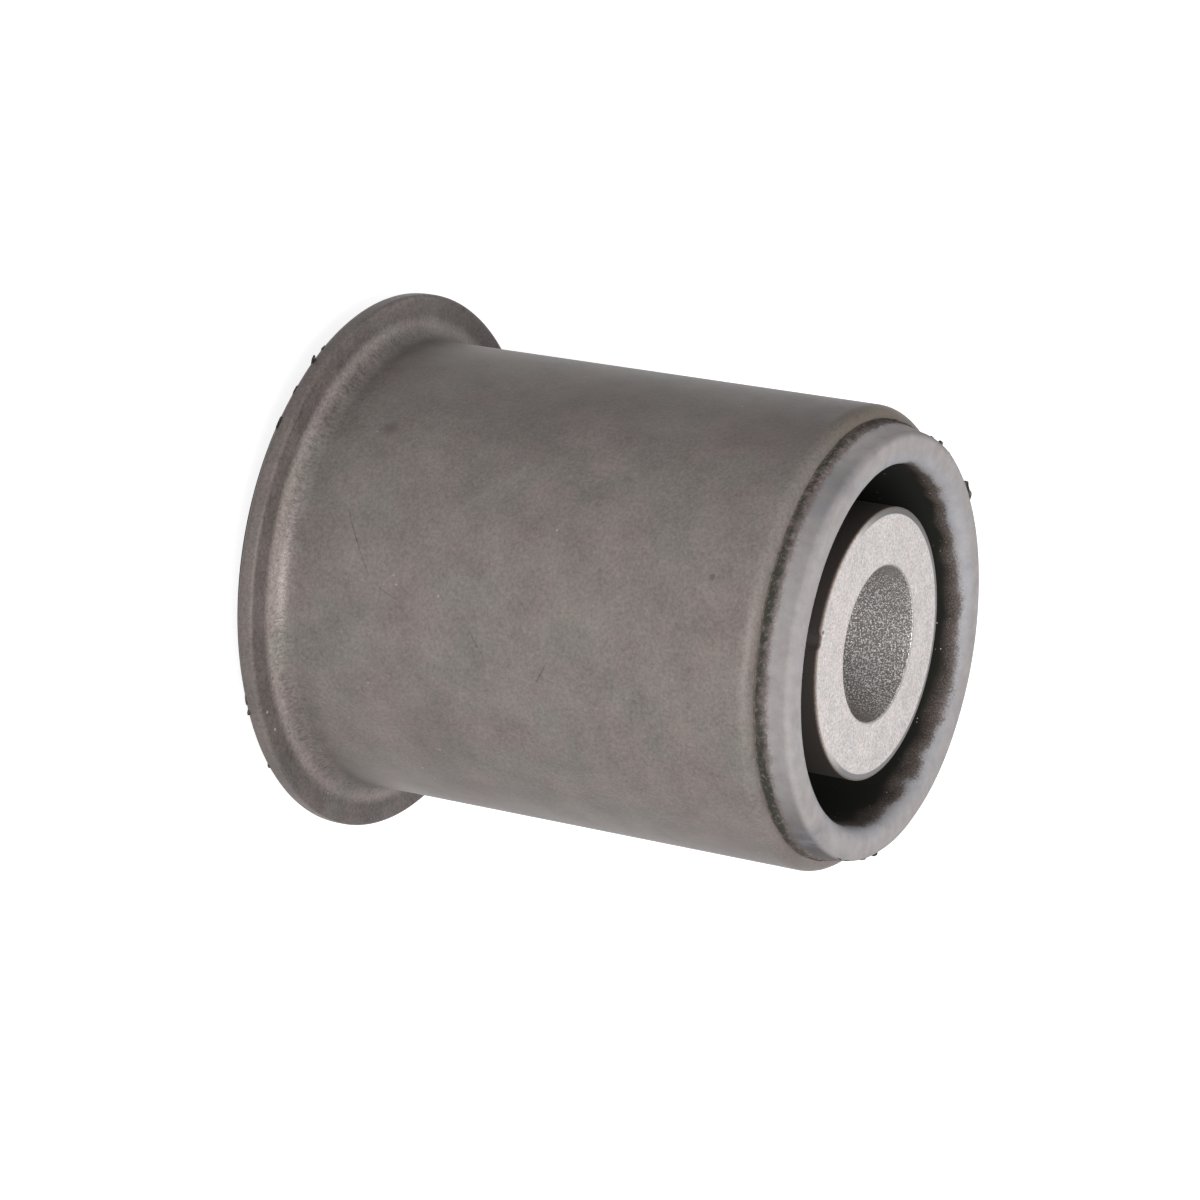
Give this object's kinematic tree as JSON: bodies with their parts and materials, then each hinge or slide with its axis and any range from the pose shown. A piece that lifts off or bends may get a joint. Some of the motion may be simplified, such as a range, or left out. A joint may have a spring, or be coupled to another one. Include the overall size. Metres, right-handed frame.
{
  "type": "flanged rubber metal bush",
  "caption": "Flanged bush with a steel outer sleeve and a thick steel inner sleeve joined by moulded rubber, with a ring-shaped void and a rubber lip at each end.",
  "frame": {"origin": "on the axis, at the bottom of the rubber lip behind the flange, on which the bush stands", "axes": "+Z along the axis, from the flange towards the plain end"},
  "size_m": [0.0508, 0.0508, 0.0563],
  "materials": {
    "outer_steel": "matte grey phosphated steel with soft mottling",
    "rubber": "black rubber with a pale bloom on the lips and a torn edge where the front lip starts",
    "inner_steel": "bright granular blasted steel"
  },
  "bodies": {
    "root": {"outer_sleeve": "outer_steel", "rubber_spring": "rubber", "inner_sleeve": "inner_steel"}
  },
  "joints": []
}
